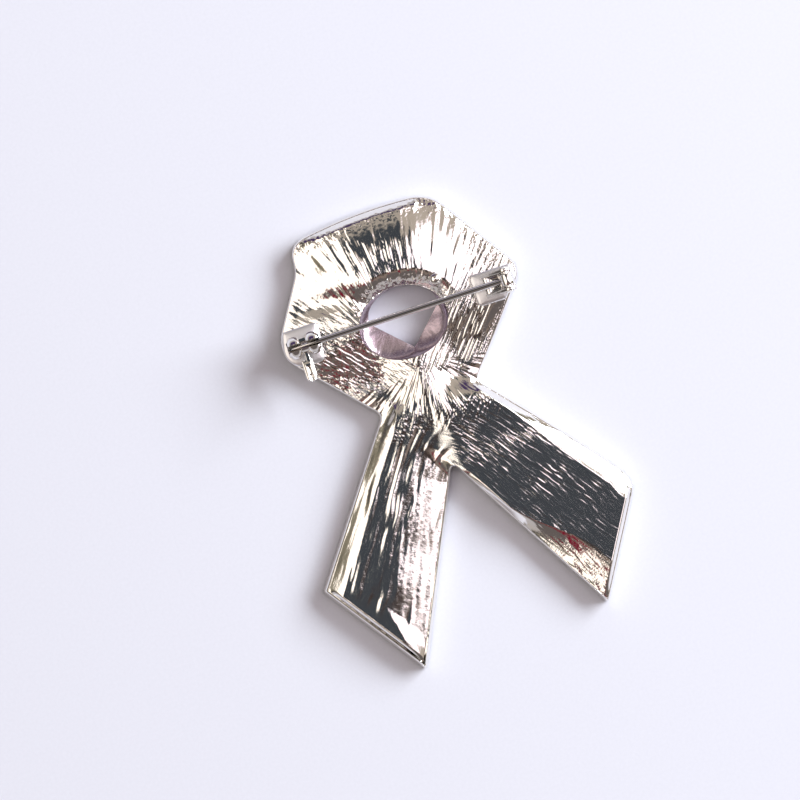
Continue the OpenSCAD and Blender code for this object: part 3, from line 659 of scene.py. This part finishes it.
# The opening's wall slopes from the ellipse on the back to the drop on the front.
drop = drop_at(angle_of(opening_top))
slope = [opening_top]
for share, fall in OPENING_WALL:
    spot = opening_top[:, :2] * (1 - share) + drop * share
    slope.append(np.concatenate([spot, opening_top[:, 2:] * (1 - fall) + LIP_Z * fall], 1))
slope += [level(drop, LIP_FOOT_Z), level(drop, RIM_Z + BEVEL)]
slope.append(level(drop + BEVEL * unit(drop - FRONT_MIDDLE), RIM_Z))
opening = Shell()
opening.grid(np.array(slope), level(BACK_MIDDLE - opening_top[:, :2], 1.0), close_cols=True)
# The opening's wall takes the plate with painted shade and a painted rose reflection in its colour.
opening.casting("opening_wall", wall_plate_painted_shade)

# The casting's front: rims, tray and ridges

# The rim's two edges are bevelled, each by a distance across it and a height.
OUTER_BEVEL, INNER_BEVEL = (0.05, 0.06), (0.08, 0.1)
# The two ridges at the crossing: width and rounding, and how far they stay back from the rim
RIDGE_W, RIDGE_ROUNDING, RIDGE_SUNK = 0.5, 0.12, 0.01
# How much nearer than the gap a moved point may come before it counts as folded over
FOLD_SLACK = 0.02


def drawn_in(line, gap):
    """A closed line moved to its left by a gap, with the points that would fold over held at the fold."""
    ahead, behind = np.roll(line, -1, 0), np.roll(line, 1, 0)
    d = unit(ahead - behind)
    moved = line + np.stack([d[:, 1], -d[:, 0]], 1) * gap
    near = np.min([gap_to_line(moved, a, b) for a, b in zip(line, ahead)], axis=0)
    good = near > abs(gap) - FOLD_SLACK
    index = np.arange(len(line))
    return np.stack([np.interp(index, index[good], moved[good, k], period=len(line)) for k in (0, 1)], 1)


def ridge(shell, a, b):
    """A bar with rounded edges between two points, hanging from the tray's floor to the rim."""
    d = (b - a) / length(b - a)
    side = np.array([d[1], -d[0]])
    half, top, part = RIDGE_W / 2, RIM_Z + RIDGE_SUNK, 0.3 * RIDGE_ROUNDING
    profile = [(half, FLOOR_Z), (half, top + RIDGE_ROUNDING), (half - part, top + part),
               (half - RIDGE_ROUNDING, top)]
    profile += [(-out, z) for out, z in profile[::-1]]
    rows = [level(np.array([a + side * out, b + side * out]), z) for out, z in profile]
    shell.grid(np.array(rows), [0, 0, -1])


tray = Shell()
outer = rim_at(along_outline(range(CORNERS), RIM_CELL))
hole = drop_at(-np.linspace(0, TAU, 120, endpoint=False) - TAU / 4)
inner_lines = []
for line, gap in ((outer, RIM_W), (hole, -RIM_W)):
    inner, sign = drawn_in(line, gap), np.sign(gap)
    bevels = [drawn_in(line, OUTER_BEVEL[0] * sign), drawn_in(line, gap - INNER_BEVEL[0] * sign)]
    rings = [level(line, RIM_Z + OUTER_BEVEL[1]), level(bevels[0], RIM_Z), level(bevels[1], RIM_Z),
             level(inner, RIM_Z + INNER_BEVEL[1]), level(inner, FLOOR_Z)]
    tray.grid(np.array(rings), [0, 0, -1], close_cols=True)
    inner_lines.append(inner)
floor_lines = [inner_lines[0], inner_lines[1][::-1]]
floor_vectors = [[mathutils.Vector((*p, 0)) for p in line] for line in floor_lines]
floor_faces = mathutils.geometry.tessellate_polygon(floor_vectors)
tray.add(level(np.concatenate(floor_lines), FLOOR_Z), floor_faces)
ridge(tray, drop_at(np.array(-TAU / 4)), AT[RIGHT_NOTCH])
ridge(tray, AT[LEFT_NOTCH], AT[CROTCH])
tray.casting("front_tray", plate_smooth)

# The fittings

# The pin's line and diameter, and the places of the rivet, the catch and the point along it
PIN_Y, PIN_Z, PIN_D = 0.7, 5.0, 0.8
HINGE_X, CATCH_X, TIP_X = 13.95, -12.6, -14.2
# The soldered pads: foot, top and rounding, and how far their tops fall at a distance from the middle
PAD_FOOT, PAD_TOP, PAD_ROUNDING, PAD_FALL, PAD_HALF = 1.9, 3.75, 0.3, 0.15, 2.5
# Each pad is the convex outline round some circles. Columns: x, y, radius.
HINGE_PAD = [[10.1, 2.0, 0.6], [14.6, 2.0, 0.6], [14.6, 1.0, 0.6], [12.9, -0.9, 0.6], [10.2, -0.9, 0.6]]
CATCH_PAD = [[-12.9, 0.6, 2.4], [-14.4, 2.6, 0.5], [-10.7, 2.6, 0.5], [-11.2, -1.2, 0.6]]
# The middle of each pad's domed top
HINGE_PAD_MIDDLE, CATCH_PAD_MIDDLE = (12.4, 0.6), (CATCH_X, PIN_Y)
# Radius that stands for a point
DOT = 1e-4


def round_outline(spots, count=96):
    """The convex outline round circles. Columns: x, y, radius."""
    angle = np.linspace(0, TAU, count, endpoint=False)
    out = np.stack([np.cos(angle), np.sin(angle)], 1)
    reach = out @ spots[:, :2].T + spots[:, 2]
    best = spots[np.argmax(reach, 1)]
    return best[:, :2] + best[:, 2:] * out, out


def four_spots(x0, x1, y0, y1, radius):
    """Circles at the corners of a rectangle."""
    return [[x0, y0, radius], [x1, y0, radius], [x1, y1, radius], [x0, y1, radius]]


def slab(shell, spots, z_foot, z_top, rounding, relief_at=lambda p: 0 * p[:, 0]):
    """A pad with a rounded upper edge on the convex outline round circles. relief_at raises its top."""
    line, out = round_outline(np.array(spots, float))
    rows = [level(line, z_foot)]
    for angle in np.linspace(0, TAU / 4, 6):
        inset, lower = rounding * (1 - math.cos(angle)), rounding * (1 - math.sin(angle))
        rows.append(level(line - out * inset, z_top - lower + relief_at(line)))
    middle, edge = line.mean(0), rows[-1][:, :2]
    for share in np.linspace(1, 0.02, 24)[1:]:
        p = middle + (edge - middle) * share
        rows.append(level(p, z_top + relief_at(p)))
    shell.grid(np.array(rows), close_cols=True)
    shell.add(rows[-1], np.arange(len(line))[None])


def domed(x, y):
    """A relief that falls with the square of the distance from x, y: -fall (distance / half)^2."""
    return lambda p: -PAD_FALL * ((p[:, 0] - x) ** 2 + (p[:, 1] - y) ** 2) / PAD_HALF ** 2


def turned(shell, profile, start, axis, count):
    """Something turned about an axis through start. Profile columns: way along the axis, radius."""
    axis = unit(np.array(axis, float))
    side = unit(np.cross(axis, [0, 0, 1.0]))
    up = np.cross(side, axis)
    angle = np.linspace(0, TAU, count, endpoint=False)[:, None]
    ring = np.cos(angle) * up + np.sin(angle) * side
    shell.grid(np.array([np.array(start) + axis * w + ring * r for w, r in profile]), close_cols=True)


def open_ring(shell, x, widths, outer, bore, begin=None, count=40):
    """A ring about the pin's line, open between the slot on top and the angle at which it begins.

    Widths are along X, and outer is a radius at each of them. Without begin, only the slot is open.
    """
    rows = []
    for w, r in zip(widths, outer):
        a, b = math.asin(min(1, SLOT_W / 2 / r)), math.asin(SLOT_W / 2 / bore)
        outside = np.linspace(a if begin is None else begin, TAU - a, count)
        inside = np.linspace(TAU - b, b if begin is None else begin, count)
        angle, radius = np.concatenate([outside, inside]), np.repeat([r, bore], count)
        y, z = PIN_Y + radius * np.sin(angle), PIN_Z + radius * np.cos(angle)
        rows.append(np.stack([np.full(2 * count, x + w), y, z], 1))
    shell.grid(np.array(rows), close_cols=True)
    k = np.arange(count - 1)
    ends = np.stack([k, k + 1, 2 * count - 2 - k, 2 * count - 1 - k], 1)
    shell.add(rows[0], ends)
    shell.add(rows[-1], ends[:, ::-1])


def soldered_pad(name, spots, middle):
    """A pad with a domed top."""
    pad = Shell()
    slab(pad, spots, PAD_FOOT, PAD_TOP, PAD_ROUNDING, domed(*middle))
    pad.casting(name, plate_satin)


soldered_pad("hinge_pad", HINGE_PAD, HINGE_PAD_MIDDLE)

# Thickness of an ear, and the width over both ears
EAR_T, BRACKET_W = 0.45, 2.9
# An ear seen along Y, as circles. Columns: x and z from the rivet, radius.
EAR = np.array([[0, 0, 0.85], [-2.9, -1.15, 0.1], [-2.9, -2.7, 0.1], [0.85, -2.7, 0.1]])
# Its rounded edge. Columns: way into the ear's thickness, growth of the outline.
EAR_EDGE = ((0.0, -0.02), (0.03, 0.05), (0.1, 0.08))
# The floor between the ears, with ribs along the pin
HINGE_FLOOR, FLOOR_FOOT, FLOOR_TOP = four_spots(11.1, 14.7, 2.0, -0.6, 0.1), PAD_TOP - 0.4, PAD_TOP + 0.25
FLOOR_ROUNDING, RIB, RIB_PITCH = 0.1, 0.05, 0.5


def ear(shell, y0, y1):
    """An ear of the hinge: a plate with a round top about the rivet, from y0 to y1."""
    line, out = round_outline(EAR, 72)
    edge = [(y0 + way, grow) for way, grow in EAR_EDGE] + [(y1 - way, grow) for way, grow in EAR_EDGE[::-1]]
    rows = []
    for y, grow in edge:
        q = line + out * grow
        rows.append(np.stack([HINGE_X + q[:, 0], np.full(len(q), y), PIN_Z + q[:, 1]], 1))
    shell.grid(np.array(rows), close_cols=True)
    face = np.arange(len(line))[None]
    shell.add(rows[0], face)
    shell.add(rows[-1], face[:, ::-1])


def ribbed(p):
    """A relief of waves down Y: rib (cos(TAU y / pitch) - 1)."""
    return RIB * (np.cos(TAU * (p[:, 1] - PIN_Y) / RIB_PITCH) - 1)


ears = Shell()
ear(ears, PIN_Y - BRACKET_W / 2, PIN_Y - BRACKET_W / 2 + EAR_T)
ear(ears, PIN_Y + BRACKET_W / 2 - EAR_T, PIN_Y + BRACKET_W / 2)
slab(ears, HINGE_FLOOR, FLOOR_FOOT, FLOOR_TOP, FLOOR_ROUNDING, ribbed)
ears.casting("hinge_ears", plate_smooth)

soldered_pad("catch_pad", CATCH_PAD, CATCH_PAD_MIDDLE)

# The catch's two round shoulders: diameter, width, distance apart, bore and slot
SHOULDER_D, SHOULDER_W, SHOULDER_PITCH, BORE, SLOT_W = 2.9, 1.55, 2.36, 2.0, 0.85
# Their feet on the pad: half sizes along X and Y, radius and rounding, depth in the pad, gap below the bore
FOOT_X, FOOT_Y, FOOT_R, FOOT_ROUNDING, FOOT_SUNK, FOOT_GAP = 0.45, 0.8, 0.2, 0.05, 0.2, 0.12
shoulders = Shell()
# A shoulder swells from 0.55 of its radius at its ends: 0.55 + 0.45 (1 - t^2.4)^0.5, with t from its middle.
t = np.linspace(-1, 1, 25)
swollen = 0.55 + 0.45 * np.sqrt(np.maximum(0, 1 - np.abs(t) ** 2.4))
radius = np.maximum(BORE / 2 + 0.02, SHOULDER_D / 2 * swollen)
for side in (-1, 1):
    x = CATCH_X + side * SHOULDER_PITCH / 2
    open_ring(shoulders, x, t * SHOULDER_W / 2, radius, BORE / 2)
    slab(shoulders, four_spots(x - FOOT_X, x + FOOT_X, PIN_Y - FOOT_Y, PIN_Y + FOOT_Y, FOOT_R),
         PAD_TOP - FOOT_SUNK, PIN_Z - BORE / 2 - FOOT_GAP, FOOT_ROUNDING)
shoulders.casting("catch_shoulders", plate_smooth)

# The small round boss beside the opening: its place, its radius and how deep its middle lies under the back
BOSS_AT, BOSS_R, BOSS_SUNK = np.array([[5.5, 3.6]]), 0.95, 0.5
boss_z = back_z(BOSS_AT, gaps_to_sides(BOSS_AT))[0] - BOSS_SUNK
angle, fall = np.linspace(0, TAU, 40, endpoint=False)[None], np.linspace(0.02, TAU / 4, 10)[:, None]
dome = np.stack([np.sin(fall) * np.cos(angle), np.sin(fall) * np.sin(angle), np.cos(fall) + 0 * angle], -1)
boss = Shell()
boss.grid(np.array([*BOSS_AT[0], boss_z]) + BOSS_R * dome, close_cols=True)
boss.casting("boss", plate_smooth)

# The pin: a drawn wire that tapers to a point, with an eye round the rivet
# The eye's radius, bore and width, the length of the point and the radius of its tip
EYE_R, EYE_BORE_R, EYE_W, POINT, POINT_R = 0.95, 0.46, 1.5, 4.5, 0.05
# The eye's rounded edge. Columns: way along the rivet, distance below the eye's radius.
EYE_EDGE = ((0, 0.12), (0.04, 0.04), (0.12, 0))
pin = Shell()
taper = np.linspace(0, 1, 12)
radii = POINT_R + (PIN_D / 2 - POINT_R) * np.sin(taper * TAU / 4) ** 0.8
shank = [(POINT + 0.5, PIN_D / 2), (HINGE_X - EYE_R * 0.7 - TIP_X, PIN_D / 2)]
turned(pin, [(0, DOT), *zip(taper * POINT, radii), *shank], [TIP_X, PIN_Y, PIN_Z], [1, 0, 0], 32)
eye = [(0, EYE_BORE_R)] + [(w, EYE_R - low) for w, low in EYE_EDGE]
eye += [(EYE_W - w, r) for w, r in eye[::-1]] + [(0, EYE_BORE_R)]
turned(pin, eye, [HINGE_X, PIN_Y - EYE_W / 2, PIN_Z], [0, 1, 0], 48)
pin.piece("pin_wire", "pin", wire, "pin_stem")

# The rivet's shank and flat round head, which clears the ear. Columns: way beyond that gap, radius.
HEAD_GAP = 0.02
RIVET = ((0.0, 0.4), (0.0, 0.6), (0.02, 0.58), (0.1, 0.5), (0.16, 0.3), (0.2 - DOT, DOT))
rivet = Shell()
half = [(BRACKET_W / 2 + HEAD_GAP + w, r) for w, r in RIVET]
turned(rivet, [(-w, r) for w, r in half[::-1]] + half, [HINGE_X, PIN_Y, PIN_Z], [0, 1, 0], 40)
rivet.piece("rivet", "ribbon", plate_smooth, "hinge_rivet")

# The turning sleeve of the catch. Columns of its end: way along it, radius.
SLEEVE_BORE, SLEEVE_LEN, SLEEVE_END = 1.25, 4.2, np.array([[0, 0.85], [0.03, 0.92], [0.12, 0.95]])
# Its lever: place along the pin, reach, width, half its thickness, and the roundings of its neck and blade
LEVER_X, LEVER_REACH, LEVER_W, LEVER_HALF = CATCH_X - 0.25, 4.6, 1.4, 0.3
NECK_ROUNDING, BLADE_ROUNDING = 0.08, 0.15
NECK = four_spots(CATCH_X - 0.2, CATCH_X + 0.2, PIN_Y - 0.95, PIN_Y - 2.0, 0.08)
LEVER_END_Y = PIN_Y - LEVER_REACH + LEVER_W / 2
BLADE = [[LEVER_X - LEVER_W / 2 + 0.1, PIN_Y - 1.85, 0.1], [LEVER_X + LEVER_W / 2 - 0.1, PIN_Y - 1.85, 0.1],
         [LEVER_X, LEVER_END_Y, LEVER_W / 2]]
# Waves across the blade, and the dimple in its round end
WAVE, WAVE_PITCH, DIMPLE, DIMPLE_R = 0.06, 0.62, 0.12, 0.3


def embossed(p):
    """A relief of waves and a dimple: -wave (1 + cos(TAU x / pitch)) - dimple exp(-distance^2 / radius^2)."""
    waves = WAVE * (1 + np.cos(TAU * (p[:, 0] - LEVER_X) / WAVE_PITCH))
    from_end = (p[:, 0] - LEVER_X) ** 2 + (p[:, 1] - LEVER_END_Y) ** 2
    return -waves - DIMPLE * np.exp(-from_end / DIMPLE_R ** 2)


sleeve = Shell()
ends, radii = SLEEVE_END[:, 0] - SLEEVE_LEN / 2, SLEEVE_END[:, 1]
open_ring(sleeve, CATCH_X, [*ends, *-ends[::-1]], [*radii, *radii[::-1]], SLEEVE_BORE / 2, TAU / 4)
slab(sleeve, NECK, PIN_Z - LEVER_HALF, PIN_Z + LEVER_HALF, NECK_ROUNDING)
slab(sleeve, BLADE, PIN_Z - LEVER_HALF, PIN_Z + LEVER_HALF, BLADE_ROUNDING, embossed)
sleeve.piece("sleeve_and_lever", "sleeve", plate_smooth, "catch_sleeve")

# The stones keep their solids.
for name in ("loop_stones", "right_tail_stones", "left_tail_stones"):
    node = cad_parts[name]
    node.data.materials.clear()
    node.data.materials.append(rose)

# Table, light and camera

# Half the table's width, in metres
TABLE_HALF = 3.0
# The photograph's right and up in the part's frame, its middle and its width
RIGHT, UP = np.array([0.9507, -0.3100, 0.0]), np.array([0.3100, 0.9507, 0.0])
PHOTO_MIDDLE, PHOTO_SPAN = np.array([-3.338, -9.43, 2.5]), 100.0
LENS, SENSOR = 180.0, 36.0

table_mesh = bpy.data.meshes.new("table")
table_corners = [(x * TABLE_HALF, y * TABLE_HALF, 0) for x, y in ((-1, -1), (1, -1), (1, 1), (-1, 1))]
table_mesh.from_pydata(table_corners, [], [(0, 1, 2, 3)])
table_mesh.materials.append(paper)
table = bpy.data.objects.new("table", table_mesh)
bpy.context.scene.collection.objects.link(table)


def toward(polar_angle, azimuth):
    """The direction at an angle from straight up, and at an azimuth from the photograph's right."""
    p, a = math.radians(polar_angle), math.radians(azimuth)
    return math.sin(p) * (math.cos(a) * RIGHT + math.sin(a) * UP) + math.cos(p) * np.array([0, 0, 1.0])


def turn_to(thing, axes):
    """Turns a lamp or a camera so that its X, Y and Z lie along three directions."""
    thing.matrix_world = mathutils.Matrix(np.stack(axes, 1).tolist()).to_4x4()


def lamp(name, polar_angle, azimuth, size_out, size_round, radiance, colour, away):
    """A rectangular area light that faces the part. Its power is pi times its area times its radiance."""
    light = bpy.data.lights.new(name, "AREA")
    light.shape = "RECTANGLE"
    light.size, light.size_y = size_round, size_out
    light.energy = radiance * math.pi * size_out * size_round
    light.color = colour
    made = bpy.data.objects.new(name, light)
    d, down = toward(polar_angle, azimuth), toward(polar_angle + 90, azimuth)
    turn_to(made, [np.cross(down, d), down, d])
    made.location = d * away
    bpy.context.scene.collection.objects.link(made)


# The main lamp stands low at the upper right, and throws the soft shadow to the lower left.
lamp("main_lamp", 64, 30, 0.67, 1.28, 21.5, (0.9, 0.955, 1.0), 1.6)

# The room that the plate mirrors: rings of colours round the zenith, another set of them in each sector.
# Straight up, round the camera, all of them are slate.
SLATE, CREAM = (0.050, 0.058, 0.070, 1), (0.50, 0.43, 0.37, 1)
BEIGE, PURPLE = (0.42, 0.37, 0.32, 1), (0.07, 0.045, 0.12, 1)
BROWN, DEEP = (0.052, 0.037, 0.033, 1), (0.135, 0.115, 0.112, 1)
OLIVE, DARK = (0.26, 0.23, 0.17, 1), (0.09, 0.08, 0.075, 1)
TAUPE, RED = (0.24, 0.185, 0.16, 1), (0.19, 0.012, 0.03, 1)
WHITE_BOX, WARM_BOX, HORIZON = (1.8, 1.6, 1.7, 1), (1.65, 1.5, 1.36, 1), (0.5, 0.47, 0.48, 1)
# Rings outside the sectors. Columns: from and to in degrees from the zenith, colour reached there.
AROUND = ((8, 16, CREAM),)
# Columns of the sectors: middle, half width and softness in degrees from the photograph's right, rings.
SECTORS = (
    # Above the photograph
    (110, 32, 6, ((24, 31, BEIGE), (45, 50, PURPLE), (68, 78, HORIZON))),
    # Below it
    (302, 41, 6, ((4, 11, BROWN), (17, 23, TAUPE), (29, 34, DEEP), (66, 76, HORIZON))),
    # A strip at its lower left
    (251.5, 12.5, 3, ((4, 10, BROWN), (13, 17, TAUPE), (20, 25, RED), (32, 37, DEEP), (64, 70, HORIZON))),
    # A white box at its right
    (20.5, 35.5, 3, ((6.5, 9.5, WHITE_BOX), (43, 49, CREAM), (58, 66, OLIVE))),
    # A warm box at its left
    (189.5, 47.5, 3, ((8, 12, WARM_BOX), (46, 50, OLIVE), (56, 62, DARK), (68, 76, HORIZON))),
)
world = bpy.data.worlds.new("studio")
bpy.context.scene.world = world
sky = bare_tree(world)
DOT_PRODUCT, SMOOTH_STEP = {"operation": "DOT_PRODUCT"}, {"interpolation_type": "SMOOTHSTEP"}
seen = add_node(sky, "ShaderNodeTexCoord").outputs["Generated"]
cosine = add_node(sky, "ShaderNodeVectorMath", DOT_PRODUCT, i0=seen, i1=[0.0, 0.0, 1.0]).outputs["Value"]
radians = add_node(sky, "ShaderNodeMath", {"operation": "ARCCOSINE"}, i0=cosine).outputs[0]
degrees = add_node(sky, "ShaderNodeMath", {"operation": "MULTIPLY"}, i0=radians, i1=360 / TAU).outputs[0]
square = add_node(sky, "ShaderNodeMath", {"operation": "MULTIPLY"}, i0=cosine, i1=cosine).outputs[0]
remnant = add_node(sky, "ShaderNodeMath", {"operation": "SUBTRACT"}, i0=1.0, i1=square).outputs[0]
above_0 = add_node(sky, "ShaderNodeMath", {"operation": "MAXIMUM"}, i0=remnant, i1=1e-6).outputs[0]
sine = add_node(sky, "ShaderNodeMath", {"operation": "SQRT"}, i0=above_0).outputs[0]


def rings(columns):
    """Colours by the angle from the zenith, from slate on."""
    colour = SLATE
    for start, end, reached in columns:
        share = add_node(sky, "ShaderNodeMapRange", SMOOTH_STEP, Value=degrees, From_Min=start, From_Max=end)
        colour = add_node(sky, "ShaderNodeMix", RGBA, i0=share.outputs[0], i6=colour, i7=reached).outputs[2]
    return colour


def sector(azimuth, half, soft):
    """1 inside a sector of azimuths round the photograph's right, with soft sides.

    A smooth step of direction . middle / sine from cos(half + soft) to cos(half - soft).
    """
    a = math.radians(azimuth)
    middle = (math.cos(a) * RIGHT + math.sin(a) * UP).tolist()
    along = add_node(sky, "ShaderNodeVectorMath", DOT_PRODUCT, i0=seen, i1=middle).outputs["Value"]
    way = add_node(sky, "ShaderNodeMath", {"operation": "DIVIDE"}, i0=along, i1=sine).outputs[0]
    near, far = math.cos(math.radians(half + soft)), math.cos(math.radians(half - soft))
    return add_node(sky, "ShaderNodeMapRange", SMOOTH_STEP, Value=way, From_Min=near, From_Max=far).outputs[0]


sky_colour = rings(AROUND)
for azimuth, half, soft, columns in SECTORS:
    share = sector(azimuth, half, soft)
    sky_colour = add_node(sky, "ShaderNodeMix", RGBA, i0=share, i6=sky_colour, i7=rings(columns)).outputs[2]
background = add_node(sky, "ShaderNodeBackground", Color=sky_colour, Strength=1.0)
add_node(sky, "ShaderNodeOutputWorld", Surface=background.outputs[0])

bpy.context.scene.view_settings.view_transform = "Standard"
camera = bpy.data.cameras.new("camera")
camera.sensor_width, camera.lens = SENSOR, LENS
viewer = bpy.data.objects.new("camera", camera)
turn_to(viewer, [RIGHT, UP, np.array([0, 0, 1.0])])
viewer.location = (PHOTO_MIDDLE - ORIGIN) * MM + np.array([0, 0, PHOTO_SPAN * MM * LENS / SENSOR])
bpy.context.scene.collection.objects.link(viewer)
bpy.context.scene.camera = viewer
